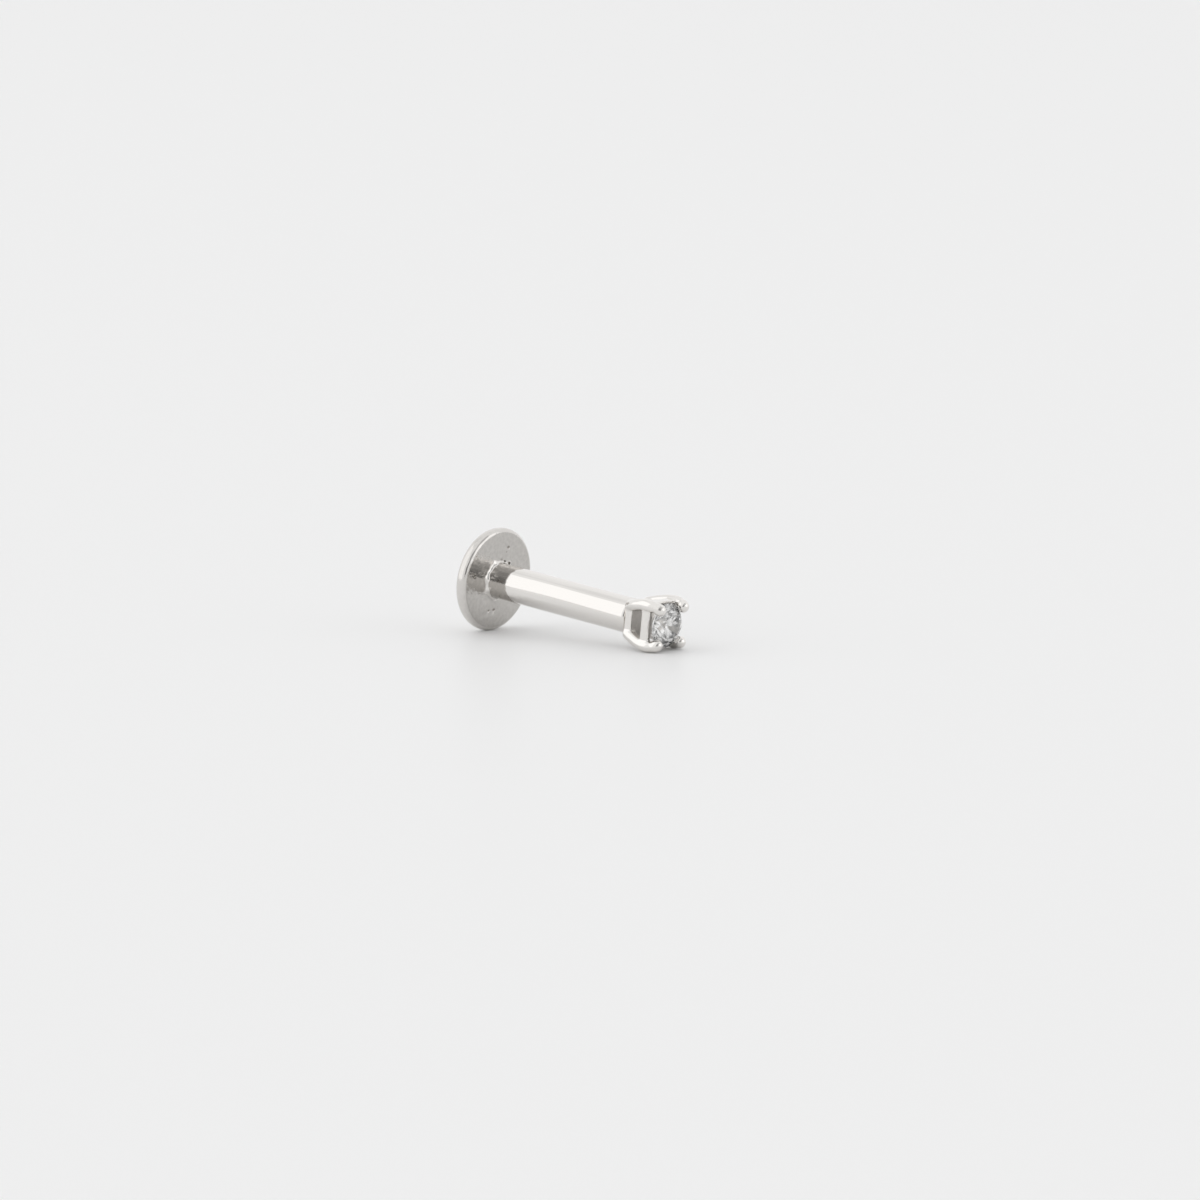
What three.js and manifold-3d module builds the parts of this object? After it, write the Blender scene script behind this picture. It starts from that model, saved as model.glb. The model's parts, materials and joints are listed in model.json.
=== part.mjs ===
// A helix stud for the ear's rim: a flat-back labret post, and a four-claw head with one round stone
// whose pin goes into the post. Millimetres, +Z up. The stud lies on a level surface, on the disc's
// rim and its two lower claws, with the origin on that surface at the middle of its box.
//
// Each piece is built about its own local Y axis, the post's axis, with 0 at the disc's front face,
// the disc below it and the stone above it. Two groups then lay the stud down along +X.
import * as THREE from "three";
import { ConvexGeometry } from "three/addons/geometries/ConvexGeometry.js";
import { mergeVertices } from "three/addons/utils/BufferGeometryUtils.js";
import Module from "manifold-3d";

// Disc and post, mm
const discDiameter = 3.5;
const discThickness = 0.5;
const discBackRadius = 0.3; // the rim is rounded most towards the back
const discFrontRadius = 0.155;
const postDiameter = 1.2;
const postLength = 6.0; // from the disc's front face to the open end
const postEndRadius = 0.12;
const solderRadius = 0.12;
const boreDiameter = 0.8;
const boreDepth = 3.2;

// Claw head, mm: a square basket, with a plate below, a frame under the stone and a claw at each corner
const headGap = 0.05; // between the post's open end and the base plate
const baseAcross = 1.24;
const baseThickness = 0.3;
const baseCornerRadius = 0.2;
const pinDiameter = 0.7;
const pinLength = 3.0;
const frameAcross = 1.58; // inside the claws' reach, so that the stud lies on the claws
const frameOpening = 1.2;
const frameBottom = 0.83; // above the base plate's underside
const frameHeight = 0.34;
const frameCornerRadius = 0.28;
const openingCornerRadius = 0.2;
const edgeRadius = 0.04; // rounding of the plate's and the frame's edges
const clawDiameter = 0.4;
const clawTipDiameter = 0.41;
const clawAngles = [45, 135, 225, 315]; // degrees about the axis, so that two claws lie lowest
// A claw's centre line, from its foot to its tip over the crown: along is the distance above the base
// plate's underside, where the foot is cut off level, and out the distance from the axis.
const clawLine = [
  { along: -0.12, out: 0.57 },
  { along: 0.23, out: 0.73 },
  { along: 0.46, out: 0.83 },
  { along: 0.94, out: 0.96 },
  { along: 1.24, out: 0.955 },
  { along: 1.46, out: 0.85 },
];

// Stone: a round brilliant, mm and degrees
const stoneDiameter = 1.5;
const girdleAboveBase = 1.32; // from the base plate's underside to the middle of the girdle
const girdleHeight = 0.05;
const crownAngle = 34.5;
const pavilionAngle = 40.8;
const tableRatio = 0.56; // table's width across corners, as a share of the diameter
const starRatio = 0.75; // reach of the points between the kite facets, as a share of the radius
const lowerHalfRatio = 0.26; // reach of the points between the pavilion mains
const seatGap = 0.03; // play between the stone and its seat in the claws

// Facets of the round stretches
const latheSides = 48;
const arcSteps = 2; // half the number of facets on each rounded edge or corner
const clawSides = 12;
const clawSteps = 10;
const mergeDistance = 1e-5;

// Search for the tilt at which the stud lies level
const steepestTilt = Math.PI / 8;
const tiltHalvings = 40;

const whiteGold = { color: 0xd9d5cd, roughness: 0.12, metalness: 1 };
const clearStone = { color: 0xeef0f2, roughness: 0.03, metalness: 0 };

const wasm = await Module();
wasm.setup();

// Closed three.js geometry to a manifold-3d solid: shared corners merged, empty triangles dropped.
function solidFrom(geometry) {
  const bare = geometry.clone();
  bare.deleteAttribute("normal");
  bare.deleteAttribute("uv");
  const merged = mergeVertices(bare, mergeDistance);
  const corners = merged.getIndex().array;
  const triangles = [];
  for (let i = 0; i < corners.length; i += 3) {
    const [a, b, c] = [corners[i], corners[i + 1], corners[i + 2]];
    if (a !== b && b !== c && c !== a) triangles.push(a, b, c);
  }
  return new wasm.Manifold(new wasm.Mesh({
    numProp: 3,
    vertProperties: new Float32Array(merged.getAttribute("position").array),
    triVerts: new Uint32Array(triangles),
  }));
}

function geometryFrom(solid) {
  const mesh = solid.getMesh();
  const geometry = new THREE.BufferGeometry();
  geometry.setAttribute("position", new THREE.BufferAttribute(new Float32Array(mesh.vertProperties), 3));
  geometry.setIndex(new THREE.BufferAttribute(new Uint32Array(mesh.triVerts), 1));
  geometry.computeVertexNormals();
  return geometry;
}

// Turns an outline of lines and arcs about the axis. It runs from the low end of the axis to the top.
function turned(outline) {
  return new THREE.LatheGeometry(outline.getPoints(arcSteps), latheSides);
}

// The disc, the solder fillet and the post with its blind bore, as one outline.
function labretPost() {
  const discRadius = discDiameter / 2;
  const postRadius = postDiameter / 2;
  const outline = new THREE.Path();
  outline.moveTo(0, -discThickness);
  outline.lineTo(discRadius - discBackRadius, -discThickness);
  const backArc = { out: discRadius - discBackRadius, along: discBackRadius - discThickness };
  outline.absarc(backArc.out, backArc.along, discBackRadius, -Math.PI / 2, 0);
  outline.lineTo(discRadius, -discFrontRadius);
  outline.absarc(discRadius - discFrontRadius, -discFrontRadius, discFrontRadius, 0, Math.PI / 2);
  outline.lineTo(postRadius + solderRadius, 0);
  outline.absarc(postRadius + solderRadius, solderRadius, solderRadius, -Math.PI / 2, -Math.PI, true);
  outline.lineTo(postRadius, postLength - postEndRadius);
  outline.absarc(postRadius - postEndRadius, postLength - postEndRadius, postEndRadius, 0, Math.PI / 2);
  outline.lineTo(boreDiameter / 2, postLength);
  outline.lineTo(boreDiameter / 2, postLength - boreDepth);
  outline.lineTo(0, postLength - boreDepth);
  return turned(outline);
}

// A square with rounded corners, centred on the axis.
function roundedSquare(across, cornerRadius) {
  const outline = new THREE.Shape();
  const reach = (across / 2 - cornerRadius) * Math.SQRT2;
  for (let quarter = 0; quarter < 4; quarter += 1) {
    const start = (quarter * Math.PI) / 2;
    const middle = start + Math.PI / 4;
    const corner = { x: reach * Math.cos(middle), y: reach * Math.sin(middle) };
    outline.absarc(corner.x, corner.y, cornerRadius, start, start + Math.PI / 2);
  }
  return outline;
}

// A plate or frame of that outline, standing on the height given, with its edges rounded.
function plateFrom(outline, bottom, thickness) {
  const plate = new THREE.ExtrudeGeometry(outline, {
    curveSegments: arcSteps,
    depth: thickness - 2 * edgeRadius,
    bevelThickness: edgeRadius,
    bevelSize: edgeRadius,
    bevelOffset: -edgeRadius,
    bevelSegments: arcSteps,
  });
  plate.rotateX(-Math.PI / 2);
  plate.translate(0, bottom + edgeRadius, 0);
  return plate;
}

// The plain pin under the base plate, let into half the plate's thickness.
function pin() {
  const radius = pinDiameter / 2;
  const top = baseThickness / 2;
  const wire = new THREE.CylinderGeometry(radius, radius, pinLength + top, latheSides);
  wire.translate(0, (top - pinLength) / 2, 0);
  return wire;
}

// The square frame under the stone's girdle, which ties the claws together.
function stoneFrame() {
  const outline = roundedSquare(frameAcross, frameCornerRadius);
  outline.holes.push(roundedSquare(frameOpening, openingCornerRadius));
  return plateFrom(outline, frameBottom, frameHeight);
}

// One claw: a round wire along the centre line, turned to its angle, with a ball for its tip.
function claw(angle) {
  const radius = clawDiameter / 2;
  const turn = THREE.MathUtils.degToRad(angle);
  const points = clawLine.map(({ along, out }) => (
    new THREE.Vector3(out * Math.cos(turn), along, out * Math.sin(turn))
  ));
  const section = new THREE.Shape().absarc(0, 0, radius, 0, 2 * Math.PI);
  const wire = new THREE.ExtrudeGeometry(section, {
    curveSegments: clawSides / 2,
    steps: clawSteps,
    extrudePath: new THREE.CatmullRomCurve3(points),
  });
  const tip = points[points.length - 1];
  const ball = new THREE.SphereGeometry(clawTipDiameter / 2, clawSides, clawSides - 2);
  ball.rotateZ(Math.PI / 2);
  ball.translate(tip.x, tip.y, tip.z);
  return solidFrom(wire).add(solidFrom(ball));
}

// A round brilliant about its girdle: 8 star, 8 kite and 16 upper facets round the table, and 16
// lower facets and 8 mains down to the point.
function brilliant(radius) {
  const slope = (degrees) => Math.tan(THREE.MathUtils.degToRad(degrees));
  const eighth = Math.PI / 4;
  const halfGirdle = (girdleHeight / 2) * (radius / (stoneDiameter / 2));
  const crownAt = (reach) => halfGirdle + (radius - reach) * slope(crownAngle);
  const pavilionAt = (reach) => -halfGirdle - (radius - reach) * slope(pavilionAngle);
  const points = [new THREE.Vector3(0, pavilionAt(0), 0)];
  const addRing = (count, offset, reach, height) => {
    for (let i = 0; i < count; i += 1) {
      const turn = (i * 2 * Math.PI) / count + offset;
      points.push(new THREE.Vector3(reach * Math.cos(turn), height, reach * Math.sin(turn)));
    }
  };
  const table = radius * tableRatio;
  const star = radius * starRatio;
  const lower = radius * lowerHalfRatio;
  const along = Math.cos(eighth / 2); // how far a point between two kites reaches along each of them
  addRing(8, 0, table, crownAt(table));
  addRing(8, eighth / 2, star, crownAt(star * along));
  addRing(16, 0, radius, halfGirdle);
  addRing(16, 0, radius, -halfGirdle);
  addRing(8, eighth / 2, lower, pavilionAt(lower * along));
  return new ConvexGeometry(points);
}

// Claws, plate, frame and pin soldered into one, and cut back for the stone. The claws' feet are cut off
// level with the plate's underside before the pin goes in.
function clawHead() {
  const below = new THREE.BoxGeometry(2 * frameAcross, pinLength, 2 * frameAcross);
  below.translate(0, -pinLength / 2, 0);
  const seat = brilliant(stoneDiameter / 2 + seatGap);
  seat.translate(0, girdleAboveBase, 0);
  const base = plateFrom(roundedSquare(baseAcross, baseCornerRadius), 0, baseThickness);
  let head = solidFrom(base).add(solidFrom(stoneFrame()));
  for (const angle of clawAngles) head = head.add(claw(angle));
  head = head.subtract(solidFrom(below)).add(solidFrom(pin()));
  return geometryFrom(head.subtract(solidFrom(seat)));
}

// How low a geometry reaches once the axis is laid along +X and its stone end dips by the tilt.
function lowestPoint(geometry, height, tilt) {
  const place = geometry.getAttribute("position");
  let lowest = Infinity;
  for (let i = 0; i < place.count; i += 1) {
    const along = place.getY(i) + height;
    lowest = Math.min(lowest, place.getZ(i) * Math.cos(tilt) - along * Math.sin(tilt));
  }
  return lowest;
}

// The tilt at which the disc's rim and the claws touch the same level surface.
function restingTilt(post, head, headHeight) {
  let low = 0;
  let high = steepestTilt;
  for (let i = 0; i < tiltHalvings; i += 1) {
    const middle = (low + high) / 2;
    if (lowestPoint(head, headHeight, middle) > lowestPoint(post, 0, middle)) low = middle;
    else high = middle;
  }
  return low;
}

const headHeight = postLength + headGap;

const post = new THREE.Mesh(labretPost(), new THREE.MeshStandardMaterial(whiteGold));
post.name = "labret_post";

const head = new THREE.Mesh(clawHead(), new THREE.MeshStandardMaterial(whiteGold));
head.name = "claw_head";
head.position.y = headHeight;

const stone = new THREE.Mesh(brilliant(stoneDiameter / 2), new THREE.MeshStandardMaterial(clearStone));
stone.name = "stone";
stone.position.y = headHeight + girdleAboveBase;

const alongPost = new THREE.Group();
alongPost.rotation.z = -Math.PI / 2;
alongPost.add(post, head, stone);

const tilt = restingTilt(post.geometry, head.geometry, headHeight);
const stud = new THREE.Group();
stud.rotation.y = tilt;
stud.add(alongPost);

const whole = new THREE.Group();
whole.add(stud);
const box = new THREE.Box3().setFromObject(whole, true);
stud.position.set(-(box.min.x + box.max.x) / 2, 0, -box.min.z);

export default whole;
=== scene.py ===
import json
import math
import bmesh
import bpy
from mathutils import Matrix, Vector
from mathutils.geometry import interpolate_bezier


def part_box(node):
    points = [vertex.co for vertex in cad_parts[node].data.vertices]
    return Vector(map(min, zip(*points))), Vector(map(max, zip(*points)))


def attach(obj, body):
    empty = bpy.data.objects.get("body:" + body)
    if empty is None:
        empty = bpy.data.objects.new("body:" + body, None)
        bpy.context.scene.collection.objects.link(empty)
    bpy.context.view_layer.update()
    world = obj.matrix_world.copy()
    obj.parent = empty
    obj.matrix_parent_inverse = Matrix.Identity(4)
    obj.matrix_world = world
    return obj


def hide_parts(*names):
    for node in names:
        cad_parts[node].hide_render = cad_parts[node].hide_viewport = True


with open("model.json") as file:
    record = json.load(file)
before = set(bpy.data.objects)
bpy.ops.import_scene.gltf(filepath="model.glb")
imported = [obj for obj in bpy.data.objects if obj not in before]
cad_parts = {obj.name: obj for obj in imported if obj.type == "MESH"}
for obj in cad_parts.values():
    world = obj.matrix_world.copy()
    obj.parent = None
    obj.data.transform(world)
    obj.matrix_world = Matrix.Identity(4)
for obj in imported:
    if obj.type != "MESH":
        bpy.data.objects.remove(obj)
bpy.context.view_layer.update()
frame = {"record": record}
print("frame loaded")

# The pieces are modelled in millimetres about the post's axis: z runs along it from 0 at the disc's
# front face to the stone, and x is its upper side. placeOnStud then lays them down in the frame.
# Angles are in degrees.
mm = 0.001
facePoint = next(mount for mount in frame["record"]["mounts"] if mount["name"] == "disc_ear_side")
axis = Vector(facePoint["axis"]).normalized()
faceCentre = Vector((facePoint["pos_m"][0], 0, facePoint["pos_m"][2]))
upperSide = Vector((-axis.z, 0, axis.x))
studTurn = Matrix((upperSide, axis.cross(upperSide), axis)).transposed().to_euler()


def acrossStud(node):
    # how wide a node is, in millimetres
    low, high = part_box(node)
    return (high[1] - low[1]) / mm


def leaveNothingSelected():
    for piece in bpy.context.selected_objects:
        piece.select_set(False)


def makeActive(piece):
    leaveNothingSelected()
    piece.select_set(True)
    bpy.context.view_layer.objects.active = piece


def applyPlace(piece):
    # the piece's place, turn and scale go into its mesh
    makeActive(piece)
    bpy.ops.object.transform_apply(location=True, rotation=True, scale=True)


def copyOf(piece):
    copy = piece.copy()
    copy.data = piece.data.copy()
    bpy.context.collection.objects.link(copy)
    return copy


def addCylinder(name, radius, bottom, height, sides):
    leaveNothingSelected()
    middle = (0, 0, bottom + height / 2)
    bpy.ops.mesh.primitive_cylinder_add(vertices=sides, radius=radius, depth=height, location=middle)
    piece = bpy.context.object
    piece.name = name
    applyPlace(piece)
    return piece


def startEditing(piece):
    makeActive(piece)
    bpy.ops.object.mode_set(mode="EDIT")
    bpy.ops.mesh.select_mode(type="FACE")
    bpy.ops.mesh.select_all(action="DESELECT")


def pickFaces(piece, wanted):
    bpy.ops.mesh.select_mode(type="FACE")
    bpy.ops.mesh.select_all(action="DESELECT")
    mesh = bmesh.from_edit_mesh(piece.data)
    for face in mesh.faces:
        if wanted(face.calc_center_median(), face.normal):
            face.select_set(True)
    mesh.select_flush_mode()
    bmesh.update_edit_mesh(piece.data)


# How close counts as being at a place, in millimetres, and how nearly a normal lies along the axis.
ringSlack = 0.002
faceSlack = 0.0001
axisSlack = 0.02
nearlyAlong = 0.9999


def onRing(place, radius, height):
    return abs(place.z - height) < ringSlack and abs(place.xy.length - radius) < ringSlack


def pickRing(piece, radius, height):
    # the loop of edges at one height, and one distance from the axis
    bpy.ops.mesh.select_mode(type="EDGE")
    bpy.ops.mesh.select_all(action="DESELECT")
    mesh = bmesh.from_edit_mesh(piece.data)
    for edge in mesh.edges:
        if all(onRing(vert.co, radius, height) for vert in edge.verts):
            edge.select_set(True)
    bmesh.update_edit_mesh(piece.data)


def flatFace(height):
    # what lies square to the axis at one height
    return lambda middle, normal: abs(middle.z - height) < faceSlack and abs(normal.z) > nearlyAlong


def innermostFace(height):
    # the end face in the middle of its rings
    return lambda middle, normal: abs(middle.z - height) < ringSlack and middle.xy.length < axisSlack


def roundRing(piece, radius, height, rounding, steps):
    pickRing(piece, radius, height)
    bpy.ops.mesh.bevel(offset=rounding, segments=steps, profile=0.5, affect="EDGES")


def shrinkFace(piece, height, fromRadius, toRadius):
    # a new, smaller circle inside the end face
    pickFaces(piece, innermostFace(height))
    bpy.ops.mesh.extrude_region_move(TRANSFORM_OT_translate={"value": (0, 0, 0)})
    share = toRadius / fromRadius
    bpy.ops.transform.resize(value=(share, share, 1), center_override=(0, 0, height))


def raiseFace(step):
    bpy.ops.mesh.extrude_region_move(TRANSFORM_OT_translate={"value": (0, 0, step)})


def addHoldingLoops(heights):
    # loops just beside a rounding, so that the flat or straight surface beyond keeps its own normals
    for height in heights:
        bpy.ops.mesh.select_all(action="SELECT")
        bpy.ops.mesh.bisect(plane_co=(0, 0, height), plane_no=(0, 0, 1))


def finishMesh(mergeBelow=1e-5):
    # ends the editing, with doubled points merged and every face looking out
    bpy.ops.mesh.select_all(action="SELECT")
    bpy.ops.mesh.remove_doubles(threshold=mergeBelow)
    bpy.ops.mesh.normals_make_consistent(inside=False)
    bpy.ops.object.mode_set(mode="OBJECT")


def applyModifier(piece, name, kind, **settings):
    makeActive(piece)
    modifier = piece.modifiers.new(name, kind)
    for key, value in settings.items():
        setattr(modifier, key, value)
    bpy.ops.object.modifier_apply(modifier=modifier.name)


def placeOnStud(piece, name, node, material):
    piece.name = name
    piece.data.name = name
    piece.scale = (mm, mm, mm)
    piece.rotation_euler = studTurn
    piece.location = faceCentre
    applyPlace(piece)
    piece.data.materials.clear()
    piece.data.materials.append(material)
    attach(piece, "root")
    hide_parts(node)
    print("made", name)


def newMaterial(name):
    material = bpy.data.materials.new(name)
    material.use_nodes = True
    nodes = material.node_tree.nodes
    return material, nodes, material.node_tree.links, nodes["Principled BSDF"]


def alongAxisCoordinates(nodes, links, stretch=(1, 1, 1)):
    # millimetres about the post's axis, from the object's own coordinates
    place = nodes.new("ShaderNodeTexCoord")
    turned = nodes.new("ShaderNodeMapping")
    turned.vector_type = "TEXTURE"
    turned.inputs["Location"].default_value = faceCentre
    turned.inputs["Rotation"].default_value = studTurn
    turned.inputs["Scale"].default_value = [mm / share for share in stretch]
    links.new(place.outputs["Object"], turned.inputs["Vector"])
    return turned.outputs["Vector"]


noiseRange = (0.3, 0.7)  # nearly all of a noise lies between these


def addNoise(nodes, links, place, scale, low, high, detail):
    noise = nodes.new("ShaderNodeTexNoise")
    noise.inputs["Scale"].default_value = scale
    noise.inputs["Detail"].default_value = detail
    spread = nodes.new("ShaderNodeMapRange")
    spread.inputs["From Min"].default_value = noiseRange[0]
    spread.inputs["From Max"].default_value = noiseRange[1]
    spread.inputs["To Min"].default_value = low
    spread.inputs["To Max"].default_value = high
    links.new(place, noise.inputs["Vector"])
    links.new(noise.outputs["Fac"], spread.inputs["Value"])
    return spread.outputs["Result"]


def addMath(nodes, links, operation, first, second):
    step = nodes.new("ShaderNodeMath")
    step.operation = operation
    for socket, value in zip(step.inputs, (first, second)):
        if isinstance(value, (int, float)):
            socket.default_value = value
        else:
            links.new(value, socket)
    return step.outputs["Value"]


def rampBetween(nodes, links, value, start, stop):
    # 0 at start, 1 at stop, and smooth between them
    ramp = nodes.new("ShaderNodeMapRange")
    ramp.interpolation_type = "SMOOTHSTEP"
    ramp.inputs["From Min"].default_value = start
    ramp.inputs["From Max"].default_value = stop
    links.new(value, ramp.inputs["Value"])
    return ramp.outputs["Result"]


def addMix(nodes, links, amount, first, second):
    mix = nodes.new("ShaderNodeMix")
    mix.data_type = "RGBA"
    for name, colour in (("A", first), ("B", second)):
        if isinstance(colour, tuple):
            mix.inputs[name].default_value = colour
        else:
            links.new(colour, mix.inputs[name])
    links.new(amount, mix.inputs["Factor"])
    return mix.outputs["Result"]


def addBump(nodes, links, height, distance, under=None):
    bump = nodes.new("ShaderNodeBump")
    bump.inputs["Distance"].default_value = distance * mm
    links.new(height, bump.inputs["Height"])
    if under is not None:
        links.new(under, bump.inputs["Normal"])
    return bump.outputs["Normal"]


goldFinish = dict(
    postColour=(0.8, 0.778, 0.751, 1),
    headColour=(0.82, 0.8, 0.772, 1),
    roughness=(0.05, 0.10),
    cloudsPerMm=1.3,
    # the faint waves that polishing leaves: in lines along the post, and all ways on the head
    postWaves=dict(perMm=5, depth=0.004, stretch=(1, 1, 0.04)),
    headWaves=dict(perMm=2.2, depth=0.004, stretch=(1, 1, 1)),
    wavesFrom=(-0.1, -0.01),  # along the axis: none on the disc's rim and back
    calmedWhereDull=0.5,
    grainShift=(3, 5, 7),  # sets the grain apart from the clouds
)


def outFromAxis(nodes, links, split):
    # how far a place is from the axis
    outX = addMath(nodes, links, "MULTIPLY", split.outputs["X"], split.outputs["X"])
    outY = addMath(nodes, links, "MULTIPLY", split.outputs["Y"], split.outputs["Y"])
    return addMath(nodes, links, "SQRT", addMath(nodes, links, "ADD", outX, outY), 0)


def goldGrain(nodes, links, place, finish):
    shifted = nodes.new("ShaderNodeMapping")
    shifted.inputs["Location"].default_value = goldFinish["grainShift"]
    links.new(place, shifted.inputs["Vector"])
    return addNoise(nodes, links, shifted.outputs["Vector"], finish["grainPerMm"], -1, 1, detail=4)


def goldTint(nodes, links, colour, finish, dull, grain):
    # the polish, and the duller places with their mottling
    tint = addMix(nodes, links, dull, colour, finish["colour"])
    dullGrain = addMath(nodes, links, "MULTIPLY", grain, dull)
    uneven = addMath(nodes, links, "MULTIPLY", dullGrain, -finish["mottling"] / 2)
    mottled = nodes.new("ShaderNodeHueSaturation")
    links.new(addMath(nodes, links, "ADD", uneven, 1), mottled.inputs["Value"])
    links.new(tint, mottled.inputs["Color"])
    return mottled.outputs["Color"]


def goldRelief(nodes, links, waves, finish, along, dull, grain):
    # the polishing waves, and a grain only where the gold is dull all through
    lines = alongAxisCoordinates(nodes, links, waves["stretch"])
    wave = addNoise(nodes, links, lines, waves["perMm"], -1, 1, detail=1)
    ahead = rampBetween(nodes, links, along, *goldFinish["wavesFrom"])
    calmed = addMath(nodes, links, "MULTIPLY", dull, goldFinish["calmedWhereDull"])
    strength = addMath(nodes, links, "MULTIPLY", ahead, addMath(nodes, links, "SUBTRACT", 1, calmed))
    polishing = addBump(nodes, links, addMath(nodes, links, "MULTIPLY", wave, strength), waves["depth"])
    dullThrough = addMath(nodes, links, "POWER", dull, 3)
    rough = addMath(nodes, links, "MULTIPLY", grain, dullThrough)
    return addBump(nodes, links, rough, finish["grainDepth"], polishing)


def whiteGold(name, colour, waves, finish, dullArea, pitArea=None):
    # polished white gold; dullArea says how dull each place is and pitArea how far it lies inside a pit,
    # where it takes a darker colour, both from 0 to 1
    material, nodes, links, shader = newMaterial(name)
    shader.inputs["Metallic"].default_value = 1
    place = alongAxisCoordinates(nodes, links)
    split = nodes.new("ShaderNodeSeparateXYZ")
    links.new(place, split.inputs["Vector"])
    out = outFromAxis(nodes, links, split)
    along = split.outputs["Z"]
    dull = dullArea(nodes, links, out, along)
    grain = goldGrain(nodes, links, place, finish)
    tint = goldTint(nodes, links, colour, finish, dull, grain)
    if pitArea is not None:
        # the inside of the pits is mixed towards a darker colour
        tint = addMix(nodes, links, pitArea(nodes, links, out, along), tint, finish["pitColour"])
    links.new(tint, shader.inputs["Base Color"])
    clouds = addNoise(nodes, links, place, goldFinish["cloudsPerMm"], *goldFinish["roughness"], detail=5)
    extra = addMath(nodes, links, "MULTIPLY", dull, finish["extraRoughness"])
    links.new(addMath(nodes, links, "ADD", clouds, extra), shader.inputs["Roughness"])
    relief = goldRelief(nodes, links, waves, finish, along, dull, grain)
    links.new(relief, shader.inputs["Normal"])
    return material


# A pair of numbers is where a soft edge starts and stops, in millimetres out from the axis or along it.
discFaceFinish = dict(
    colour=(0.54, 0.522, 0.5, 1),
    # the darker colour inside the pits
    pitColour=(0.28, 0.262, 0.238, 1),
    extraRoughness=0.05,
    grainPerMm=8,
    grainDepth=0.002,
    mottling=0.16,
    rimShare=0.45,  # how dull the rim and the back are, next to the front face
    frontEdge=(-0.012, -0.002),
    postEdge=(0.02, 0.005),
    pitsOut=(1.5, 1.46),
    pitsDeep=(-0.0005, -0.008),
    pitsFloor=(-0.2, -0.1),
)


def discFaceDull(nodes, links, out, along):
    # the front face, and to a lesser share the disc's rim and back, but not the post
    front = rampBetween(nodes, links, along, *discFaceFinish["frontEdge"])
    disc = addMath(nodes, links, "MAXIMUM", front, discFaceFinish["rimShare"])
    beforePost = rampBetween(nodes, links, along, *discFaceFinish["postEdge"])
    return addMath(nodes, links, "MULTIPLY", disc, beforePost)


def discPits(nodes, links, out, along):
    # what lies a little below the front face, inside its rounded edge: the inside of the pits, which takes
    # a darker colour
    inFace = rampBetween(nodes, links, out, *discFaceFinish["pitsOut"])
    deep = rampBetween(nodes, links, along, *discFaceFinish["pitsDeep"])
    nearFront = rampBetween(nodes, links, along, *discFaceFinish["pitsFloor"])
    return addMath(nodes, links, "MULTIPLY", inFace, addMath(nodes, links, "MULTIPLY", deep, nearFront))


insideFinish = dict(
    colour=(0.74, 0.712, 0.68, 1),
    extraRoughness=0.42,
    grainPerMm=12,
    grainDepth=0.003,
    mottling=0.1,
    inside=(0.68, 0.6),
    plateTop=(6.31, 6.345),
    seatOut=(0.81, 0.77),
    seatAlong=(7.17, 7.2),
    stoneSide=(7.4, 7.35),
)


def insideDull(nodes, links, out, along):
    # inside the basket, from the plate's top up, and the stone's seat on the rail
    inner = addMath(nodes, links, "MULTIPLY", rampBetween(nodes, links, out, *insideFinish["inside"]),
                    rampBetween(nodes, links, along, *insideFinish["plateTop"]))
    atSeat = addMath(nodes, links, "MULTIPLY", rampBetween(nodes, links, out, *insideFinish["seatOut"]),
                     rampBetween(nodes, links, along, *insideFinish["seatAlong"]))
    belowStone = rampBetween(nodes, links, along, *insideFinish["stoneSide"])
    return addMath(nodes, links, "MULTIPLY", addMath(nodes, links, "MAXIMUM", inner, atSeat), belowStone)


stoneFinish = dict(
    colour=(0.925, 0.92, 0.91, 1),
    roughness=0.08,
    refraction=2.42,
)


def clearStone(finish):
    material, nodes, links, shader = newMaterial("clearStone")
    shader.inputs["Base Color"].default_value = finish["colour"]
    shader.inputs["Roughness"].default_value = finish["roughness"]
    shader.inputs["IOR"].default_value = finish["refraction"]
    shader.inputs["Transmission Weight"].default_value = 1
    return material


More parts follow.
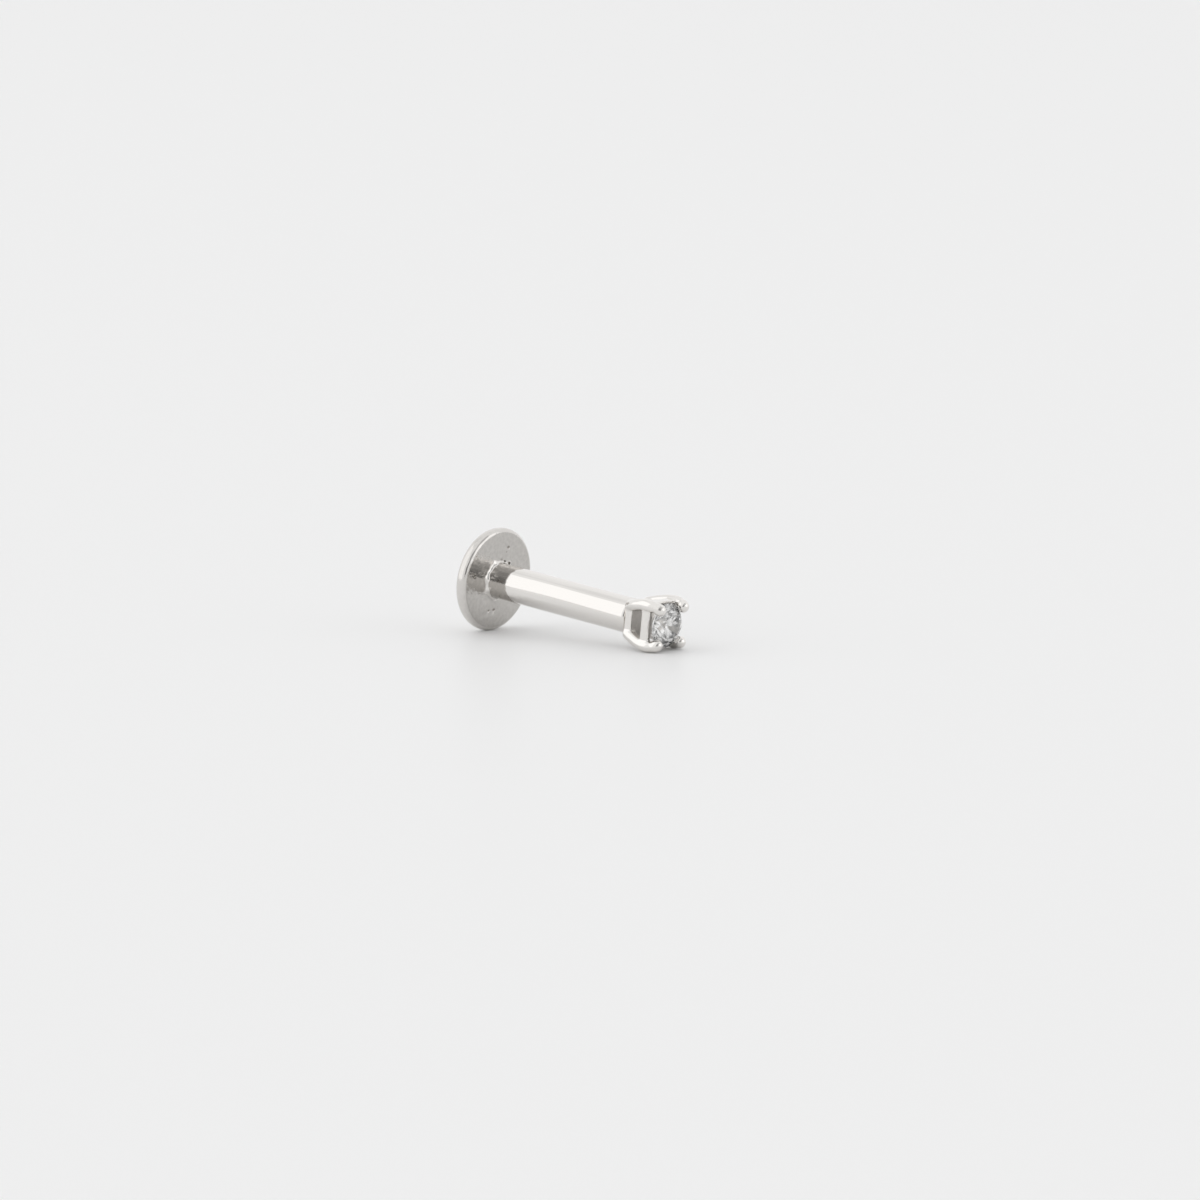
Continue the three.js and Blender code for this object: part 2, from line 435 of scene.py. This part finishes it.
postSizes = dict(
    discThickness=0.5,
    backRounding=0.3,
    frontRounding=0.155,
    postDiameter=1.2,
    postLength=6.0,
    endRounding=0.12,
    solderRounding=0.12,
    boreDiameter=0.8,
    boreDepth=3.2,
    boreRounding=0.03,
    loopGap=0.012,  # from a rounding to the holding loop beyond it
    sides=192,
    smoothBelow=40,  # a sharper edge keeps its crease
    # loops close to the solder, so that its lumps leave no creases in the long faces beyond
    postLoops=(0.2, 0.28, 0.4, 0.6),
    faceLoops=(0.012, 0.06, 0.08, 0.12),
    # small pits in the disc's front face: up and to the side from the axis, and longer sideways
    pitStretch=1.5,
    pits=[
        dict(up=1.09, side=-0.39, across=0.12, deep=0.014),
        dict(up=0.93, side=-0.31, across=0.06, deep=0.008),
        dict(up=0.53, side=-0.47, across=0.11, deep=0.05),
        dict(up=0.62, side=-0.24, across=0.08, deep=0.035),
        dict(up=-1.02, side=0.10, across=0.11, deep=0.014),
        dict(up=-1.02, side=0.36, across=0.09, deep=0.01),
        dict(up=0.24, side=1.22, across=0.13, deep=0.05),
        dict(up=0.35, side=1.34, across=0.08, deep=0.035),
        dict(up=0.30, side=0.86, across=0.07, deep=0.03),
    ],
    # lumps and dents in the solder: the angle about the axis from its upper side, the place, and how far
    # each stands out
    solderLumps=[
        dict(angle=-44, out=0.72, along=0, lump=0.03),
        dict(angle=-8, out=0.63, along=0.04, lump=-0.02),
        dict(angle=22, out=0.66, along=0.02, lump=0.035),
        dict(angle=48, out=0.6, along=0.12, lump=-0.02),
        dict(angle=62, out=0.6, along=0.17, lump=0.035),
        dict(angle=80, out=0.66, along=0.02, lump=0.03),
        dict(angle=102, out=0.6, along=0.1, lump=-0.015),
        dict(angle=118, out=0.68, along=0.01, lump=0.035),
        dict(angle=170, out=0.65, along=0.03, lump=0.025),
        dict(angle=225, out=0.65, along=0.03, lump=0.03),
        dict(angle=275, out=0.66, along=0.02, lump=-0.02),
    ],
    lumpReach=0.17,
)


def pushSolder(piece, angle, out, along, lump, reach):
    # one point of the solder is pushed out, and its neighbours follow
    turn = math.radians(angle)
    outward = Vector((math.cos(turn), math.sin(turn), 0))
    spot = outward * out + Vector((0, 0, along))
    bpy.ops.mesh.select_mode(type="VERT")
    bpy.ops.mesh.select_all(action="DESELECT")
    mesh = bmesh.from_edit_mesh(piece.data)
    nearest = min(mesh.verts, key=lambda vert: (vert.co - spot).length)
    nearest.select_set(True)
    bmesh.update_edit_mesh(piece.data)
    push = (outward + Vector((0, 0, 1))).normalized() * lump
    bpy.ops.transform.translate(value=push, use_proportional_edit=True, use_proportional_connected=True,
                                proportional_edit_falloff="SMOOTH", proportional_size=reach)


def cutPits(piece, pits, stretch):
    # a shallow bowl for each pit: a stretched ball whose rim is as wide as the pit at the disc's face
    for pit in pits:
        ball = (pit["across"] ** 2 / 4 + pit["deep"] ** 2) / (2 * pit["deep"])
        leaveNothingSelected()
        centre = (pit["up"], pit["side"], ball - pit["deep"])
        bpy.ops.mesh.primitive_uv_sphere_add(segments=24, ring_count=16, radius=ball, location=centre)
        cutter = bpy.context.object
        cutter.scale = (1, stretch, 1)
        applyPlace(cutter)
        applyModifier(piece, "pit", "BOOLEAN", operation="DIFFERENCE", object=cutter, solver="EXACT")
        bpy.data.objects.remove(cutter)


def makeLabretPost(sizes):
    discRadius = acrossStud("labret_post") / 2
    radius = sizes["postDiameter"] / 2
    end = sizes["postLength"]
    bore = sizes["boreDiameter"] / 2
    piece = addCylinder("post", discRadius, -sizes["discThickness"], sizes["discThickness"], sizes["sides"])
    startEditing(piece)
    shrinkFace(piece, 0, discRadius, radius)
    raiseFace(end)
    shrinkFace(piece, end, radius, bore)
    raiseFace(-sizes["boreDepth"])
    roundRing(piece, discRadius, -sizes["discThickness"], sizes["backRounding"], steps=14)
    roundRing(piece, discRadius, 0, sizes["frontRounding"], steps=12)
    roundRing(piece, radius, 0, sizes["solderRounding"], steps=8)
    roundRing(piece, radius, end, sizes["endRounding"], steps=6)
    roundRing(piece, bore, end, sizes["boreRounding"], steps=4)
    gap = sizes["loopGap"]
    addHoldingLoops([sizes["solderRounding"] + gap, end - sizes["endRounding"] - gap])
    addHoldingLoops(sizes["postLoops"])
    pickFaces(piece, flatFace(0))
    for thickness in sizes["faceLoops"]:
        bpy.ops.mesh.inset(thickness=thickness)
    pickFaces(piece, flatFace(-sizes["discThickness"]))
    bpy.ops.mesh.inset(thickness=gap)
    for lump in sizes["solderLumps"]:
        pushSolder(piece, reach=sizes["lumpReach"], **lump)
    finishMesh()
    cutPits(piece, sizes["pits"], sizes["pitStretch"])
    makeActive(piece)
    bpy.ops.object.shade_smooth_by_angle(angle=math.radians(sizes["smoothBelow"]))
    return piece


stoneSizes = dict(
    girdleAlong=7.37,
    girdleHeight=0.05,
    crownAngle=34.5,
    pavilionAngle=40.8,
    tableShare=0.56,
    starShare=0.75,
    lowerShare=0.26,
    turn=11.25,
    sides=96,
)


def stoneFacets(sizes, radius):
    # the heights of table and culet, and three points on each facet of one eighth of the stone: first the
    # facets that come once in an eighth, and then those that come as a mirrored pair
    crownSlope = math.tan(math.radians(sizes["crownAngle"]))
    pavilionSlope = math.tan(math.radians(sizes["pavilionAngle"]))
    half = sizes["girdleHeight"] / 2
    eighth = math.radians(45)
    between = eighth / 2

    def kiteHeight(reach, turn):
        return half + (radius - reach * math.cos(turn)) * crownSlope

    def mainHeight(reach, turn):
        return -half - (radius - reach * math.cos(turn)) * pavilionSlope

    def at(reach, turn, height):
        return Vector((reach * math.cos(turn), reach * math.sin(turn), height))

    table = radius * sizes["tableShare"]
    tableHeight = kiteHeight(table, 0)
    star = at(radius * sizes["starShare"], between, kiteHeight(radius * sizes["starShare"], between))
    lower = at(radius * sizes["lowerShare"], between, mainHeight(radius * sizes["lowerShare"], between))
    culet = Vector((0, 0, mainHeight(0, 0)))
    top = at(radius, 0, half)
    topBetween = at(radius, between, half)
    bottom = at(radius, 0, -half)
    bottomBetween = at(radius, between, -half)
    kite = [top, at(table, 0, tableHeight), star]
    starFacet = [star, at(table, 0, tableHeight), at(table, eighth, tableHeight)]
    upper = [top, star, topBetween]
    lowerGirdle = [bottom, lower, bottomBetween]
    main = [bottom, culet, lower]
    return tableHeight, culet.z, [main, kite, starFacet], [lowerGirdle, upper]


def cutFacet(points):
    # cuts off what lies beyond the plane through three points
    a, b, c = points
    normal = (b - a).cross(c - a).normalized()
    if normal.dot(a) < 0:
        normal.negate()
    bpy.ops.mesh.select_all(action="SELECT")
    bpy.ops.mesh.bisect(plane_co=a, plane_no=normal, use_fill=True, clear_outer=True, threshold=1e-6)


def mirrored(point):
    return Vector((point.x, -point.y, point.z))


def makeStone(sizes, radius):
    # a round blank, cut back facet by facet; z is 0 at the middle of the girdle
    tableHeight, culetHeight, single, paired = stoneFacets(sizes, radius)
    blank = addCylinder("stone", radius, culetHeight, tableHeight - culetHeight, sizes["sides"])
    startEditing(blank)
    for eighths in range(8):
        turn = Matrix.Rotation(eighths * math.radians(45), 3, "Z")
        for facet in single:
            cutFacet([turn @ point for point in facet])
        for facet in paired:
            cutFacet([turn @ point for point in facet])
            cutFacet([turn @ mirrored(point) for point in facet])
    finishMesh(mergeBelow=1e-4)
    return blank


headSizes = dict(
    underside=6.05,
    baseAcross=1.24,
    baseThickness=0.3,
    baseCorner=0.2,
    pinDiameter=0.7,
    pinLength=3.0,
    pinSides=96,
    railAcross=1.58,
    railOpening=1.2,
    railBottom=0.83,
    railHeight=0.34,
    railCorner=0.28,
    openingCorner=0.2,
    edgeRounding=0.04,
    sharpEdge=60,
    # the claws; the neck's place and reach are shares of the way along one
    clawRadius=0.2,
    neckRadius=0.172,
    neckAt=0.82,
    neckReach=0.09,
    tipRadius=0.205,
    domeSteps=8,
    footStock=0.25,  # wire below the foot, cut off level with the plate
    # the claw's middle line: out from the axis, and along it from the plate's underside
    clawFoot=(0.625, 0),
    footHandle=(0.755, 0.3),
    bellyHandle=(0.925, 0.62),
    clawBelly=(0.96, 0.94),
    upperHandle=(0.97, 1.15),
    tipHandle=(0.975, 1.36),
    clawTip=(0.85, 1.46),
    clawSides=40,
    clawSteps=12,
    seatGap=0.02,
    voxel=0.018,
    smoothingPasses=12,
)


def addBlock(name, across, bottom, height, corner):
    # a square plate with rounded corners
    leaveNothingSelected()
    bpy.ops.mesh.primitive_cube_add(size=1, location=(0, 0, bottom + height / 2))
    piece = bpy.context.object
    piece.name = name
    piece.scale = (across, across, height)
    applyPlace(piece)
    startEditing(piece)
    bpy.ops.mesh.select_mode(type="EDGE")
    bpy.ops.mesh.select_all(action="DESELECT")
    mesh = bmesh.from_edit_mesh(piece.data)
    for edge in mesh.edges:
        if abs(edge.verts[0].co.z - edge.verts[1].co.z) > height / 2:
            edge.select_set(True)
    bmesh.update_edit_mesh(piece.data)
    bpy.ops.mesh.bevel(offset=corner, segments=8, profile=0.5, affect="EDGES")
    bpy.ops.object.mode_set(mode="OBJECT")
    return piece


def roundEdges(piece, sizes):
    applyModifier(piece, "edges", "BEVEL", width=sizes["edgeRounding"], segments=4, limit_method="ANGLE",
                  angle_limit=math.radians(sizes["sharpEdge"]))


def makeBase(sizes):
    plate = addBlock("base", sizes["baseAcross"], 0, sizes["baseThickness"], sizes["baseCorner"])
    roundEdges(plate, sizes)
    pinRadius = sizes["pinDiameter"] / 2
    pinHeight = sizes["pinLength"] + sizes["baseThickness"] / 2
    pin = addCylinder("pin", pinRadius, -sizes["pinLength"], pinHeight, sizes["pinSides"])
    startEditing(pin)
    roundRing(pin, pinRadius, -sizes["pinLength"], sizes["edgeRounding"], steps=4)
    finishMesh()
    return [plate, pin]


def makeRail(sizes):
    bottom, height = sizes["railBottom"], sizes["railHeight"]
    rail = addBlock("rail", sizes["railAcross"], bottom, height, sizes["railCorner"])
    # the opening goes on past the rail's top and bottom, so that it cuts right through
    opening = addBlock("opening", sizes["railOpening"], bottom - height, 3 * height, sizes["openingCorner"])
    applyModifier(rail, "opening", "BOOLEAN", operation="DIFFERENCE", object=opening, solver="EXACT")
    bpy.data.objects.remove(opening)
    roundEdges(rail, sizes)
    return rail


def clawStations(sizes):
    # centres along the claw, from below its foot to the tip
    def bend(start, first, second, stop):
        ends = [Vector((out, 0, along)) for out, along in (start, first, second, stop)]
        return interpolate_bezier(*ends, sizes["clawSteps"])
    lowerPart = bend(sizes["clawFoot"], sizes["footHandle"], sizes["bellyHandle"], sizes["clawBelly"])
    upperPart = bend(sizes["clawBelly"], sizes["upperHandle"], sizes["tipHandle"], sizes["clawTip"])
    stock = (lowerPart[0] - lowerPart[1]).normalized() * sizes["footStock"]
    return [lowerPart[0] + stock] + lowerPart + upperPart[1:]


def slopeOf(step):
    return math.atan2(step.x, step.z)


def clawRadiusAt(along, sizes):
    # along is 0 at the claw's lower end and 1 at its tip; the wire widens a little, but for its neck
    necking = math.exp(-((along - sizes["neckAt"]) / sizes["neckReach"]) ** 2)
    wire = sizes["clawRadius"] + (sizes["tipRadius"] - sizes["clawRadius"]) * along
    return wire - (sizes["clawRadius"] - sizes["neckRadius"]) * necking


def goOn(step, turn, share, centre):
    # the wire's next ring, moved by the step, then turned and resized about its own centre
    bpy.ops.mesh.extrude_region_move(TRANSFORM_OT_translate={"value": step})
    if abs(turn) > 1e-6:
        bpy.ops.transform.rotate(value=-turn, orient_axis="Y", center_override=centre)
    bpy.ops.transform.resize(value=(share, share, share), center_override=centre)


def roundTip(tip, forward, radius, steps):
    smallest = 0.02  # the last ring's share of the dome's width, closed by its own small face
    angles = [math.radians(90 * number / steps) for number in range(steps + 1)]
    for before, after in zip(angles, angles[1:]):
        step = forward * radius * (math.sin(after) - math.sin(before))
        share = max(math.cos(after), smallest) / max(math.cos(before), smallest)
        goOn(step, 0, share, tip + forward * radius * math.sin(after))


def makeClaw(sizes):
    # a round wire extruded from station to station, with a rounded tip, and cut off level with the
    # plate's underside
    centres = clawStations(sizes)
    count = len(centres)
    slope = slopeOf(centres[1] - centres[0])
    radius = sizes["clawRadius"]
    leaveNothingSelected()
    bpy.ops.mesh.primitive_circle_add(vertices=sizes["clawSides"], radius=radius, fill_type="NGON",
                                      location=centres[0], rotation=(0, slope, 0))
    piece = bpy.context.object
    piece.name = "claw"
    applyPlace(piece)
    startEditing(piece)
    bpy.ops.mesh.select_all(action="SELECT")
    for i in range(1, count):
        ahead = centres[min(i + 1, count - 1)] - centres[i - 1]
        wanted = clawRadiusAt(i / (count - 1), sizes)
        goOn(centres[i] - centres[i - 1], slopeOf(ahead) - slope, wanted / radius, centres[i])
        slope = slopeOf(ahead)
        radius = wanted
    forward = Vector((math.sin(slope), 0, math.cos(slope)))
    roundTip(centres[-1], forward, radius, sizes["domeSteps"])
    bpy.ops.mesh.select_all(action="SELECT")
    bpy.ops.mesh.bisect(plane_co=(0, 0, 0), plane_no=(0, 0, 1), use_fill=True, clear_inner=True)
    finishMesh()
    return piece


def turnedCopy(piece, turn):
    copy = copyOf(piece)
    copy.rotation_euler = (0, 0, turn)
    applyPlace(copy)
    return copy


def makeSeatCutter(sizes, stone):
    # the stone's own shape, a little larger, at its place in the head
    cutter = copyOf(stone)
    stoneRadius = acrossStud("stone") / 2
    share = 1 + sizes["seatGap"] / stoneRadius
    cutter.scale = (share, share, share)
    cutter.location = (0, 0, stoneSizes["girdleAlong"] - sizes["underside"])
    applyPlace(cutter)
    return cutter


def makeClawHead(sizes, stone):
    cutter = makeSeatCutter(sizes, stone)
    rail = makeRail(sizes)
    claw = makeClaw(sizes)
    for part in (rail, claw):
        applyModifier(part, "seat", "BOOLEAN", operation="DIFFERENCE", object=cutter, solver="EXACT")
    claws = [turnedCopy(claw, math.radians(45 + 90 * number)) for number in range(4)]
    head, pin = makeBase(sizes)
    makeActive(head)
    for part in [pin, rail] + claws:
        part.select_set(True)
    bpy.ops.object.join()
    bpy.data.objects.remove(cutter)
    bpy.data.objects.remove(claw)
    # the parts grow into one solid, and smoothing leaves the soft seams of solder
    applyModifier(head, "solder", "REMESH", mode="VOXEL", voxel_size=sizes["voxel"])
    applyModifier(head, "polish", "SMOOTH", factor=0.5, iterations=sizes["smoothingPasses"])
    head.location = (0, 0, sizes["underside"])
    applyPlace(head)
    bpy.ops.object.shade_smooth()
    return head


post = makeLabretPost(postSizes)
stone = makeStone(stoneSizes, acrossStud("stone") / 2)
head = makeClawHead(headSizes, stone)
stone.location = (0, 0, stoneSizes["girdleAlong"])
stone.rotation_euler = (0, 0, math.radians(stoneSizes["turn"]))
applyPlace(stone)
postColour, postWaves = goldFinish["postColour"], goldFinish["postWaves"]
headColour, headWaves = goldFinish["headColour"], goldFinish["headWaves"]
goldPost = whiteGold("goldPost", postColour, postWaves, discFaceFinish, discFaceDull, discPits)
goldHead = whiteGold("goldHead", headColour, headWaves, insideFinish, insideDull)
placeOnStud(post, "post_and_disc", "labret_post", goldPost)
placeOnStud(head, "claw_setting", "claw_head", goldHead)
placeOnStud(stone, "cut_stone", "stone", clearStone(stoneFinish))


# The floor, the lights and the camera are in metres, in the frame.
floorSizes = dict(
    across=3.0,
    colour=(0.9, 0.9, 0.9, 1),
    roughness=0.4,
    gloss=1.16,
)


def makeFloor(sizes):
    leaveNothingSelected()
    bpy.ops.mesh.primitive_plane_add(size=sizes["across"], location=(0, 0, 0))
    floor = bpy.context.object
    floor.name = "floor"
    material, nodes, links, shader = newMaterial("floorPaper")
    shader.inputs["Base Color"].default_value = sizes["colour"]
    shader.inputs["Roughness"].default_value = sizes["roughness"]
    shader.inputs["IOR"].default_value = sizes["gloss"]
    floor.data.materials.append(material)


def direction(azimuth, elevation):
    # the way from the stud towards a light, a dark patch or the camera
    turn, rise = math.radians(azimuth), math.radians(elevation)
    return Vector((math.sin(turn) * math.cos(rise), -math.cos(turn) * math.cos(rise), math.sin(rise)))


# Azimuth is in degrees about the stud: 0 is on its -Y side, and 90 is beyond the stone.
roomLight = dict(
    strength=0.965,
    core=0.6,
    # darker patches of the room, at full depth within the core's share of each one's reach
    darkPatches=[
        dict(azimuth=41, elevation=6, reach=22, depth=0.72),
        dict(azimuth=56, elevation=32, reach=22, depth=0.58),
        dict(azimuth=95, elevation=52, reach=22, depth=0.38),
        dict(azimuth=-101, elevation=51, reach=11, depth=0.1),
    ],
)


def makeRoomLight(sizes):
    world = bpy.data.worlds.new("room")
    bpy.context.scene.world = world
    world.use_nodes = True
    nodes, links = world.node_tree.nodes, world.node_tree.links
    background = nodes["Background"]
    background.inputs["Color"].default_value = (1, 1, 1, 1)
    place = nodes.new("ShaderNodeTexCoord")
    strength = sizes["strength"]
    for patch in sizes["darkPatches"]:
        towards = nodes.new("ShaderNodeVectorMath")
        towards.operation = "DOT_PRODUCT"
        towards.inputs[1].default_value = direction(patch["azimuth"], patch["elevation"])
        links.new(place.outputs["Generated"], towards.inputs[0])
        edge = math.cos(math.radians(patch["reach"]))
        core = math.cos(math.radians(patch["reach"] * sizes["core"]))
        fade = rampBetween(nodes, links, towards.outputs["Value"], edge, core)
        dimmed = addMath(nodes, links, "MULTIPLY", fade, -patch["depth"])
        strength = addMath(nodes, links, "MULTIPLY", strength, addMath(nodes, links, "ADD", dimmed, 1))
    links.new(strength, background.inputs["Strength"])


softBoxes = dict(
    distance=0.6,
    boxes=[
        dict(name="leftBox", azimuth=-50, elevation=29, width=0.6, height=0.62, brightness=0.27),
        dict(name="rightBox", azimuth=112, elevation=18, width=0.5, height=0.4, brightness=0.34),
        dict(name="backBox", azimuth=-134, elevation=36, width=0.35, height=0.35, brightness=0.03),
    ],
)


def addSoftBox(sizes, distance):
    data = bpy.data.lights.new(sizes["name"], "AREA")
    data.shape = "RECTANGLE"
    data.size = sizes["width"]
    data.size_y = sizes["height"]
    # the energy grows with the area, so that a box's size doesn't change how bright it looks
    data.energy = sizes["brightness"] * math.pi * sizes["width"] * sizes["height"]
    light = bpy.data.objects.new(sizes["name"], data)
    bpy.context.collection.objects.link(light)
    back = direction(sizes["azimuth"], sizes["elevation"])
    light.location = back * distance
    light.rotation_euler = (-back).to_track_quat("-Z", "Y").to_euler()


cameraSizes = dict(
    azimuth=39.8,
    elevation=8.1,
    distance=0.35,
    lens=315,
    # from the frame's origin to the middle of the picture
    aimRight=0.0007,
    aimUp=0.00135,
)


def makeCamera(sizes):
    data = bpy.data.cameras.new("camera")
    data.lens = sizes["lens"]
    data.clip_start = 0.001
    data.clip_end = 100
    camera = bpy.data.objects.new("camera", data)
    bpy.context.collection.objects.link(camera)
    back = direction(sizes["azimuth"], sizes["elevation"])
    right = direction(sizes["azimuth"] + 90, 0)
    aim = right * sizes["aimRight"] + back.cross(right) * sizes["aimUp"]
    camera.location = aim + back * sizes["distance"]
    camera.rotation_euler = (-back).to_track_quat("-Z", "Y").to_euler()
    bpy.context.scene.camera = camera


makeFloor(floorSizes)
makeRoomLight(roomLight)
for box in softBoxes["boxes"]:
    addSoftBox(box, softBoxes["distance"])
makeCamera(cameraSizes)
bpy.context.scene.view_settings.view_transform = "Standard"
print("stage, light and camera set")
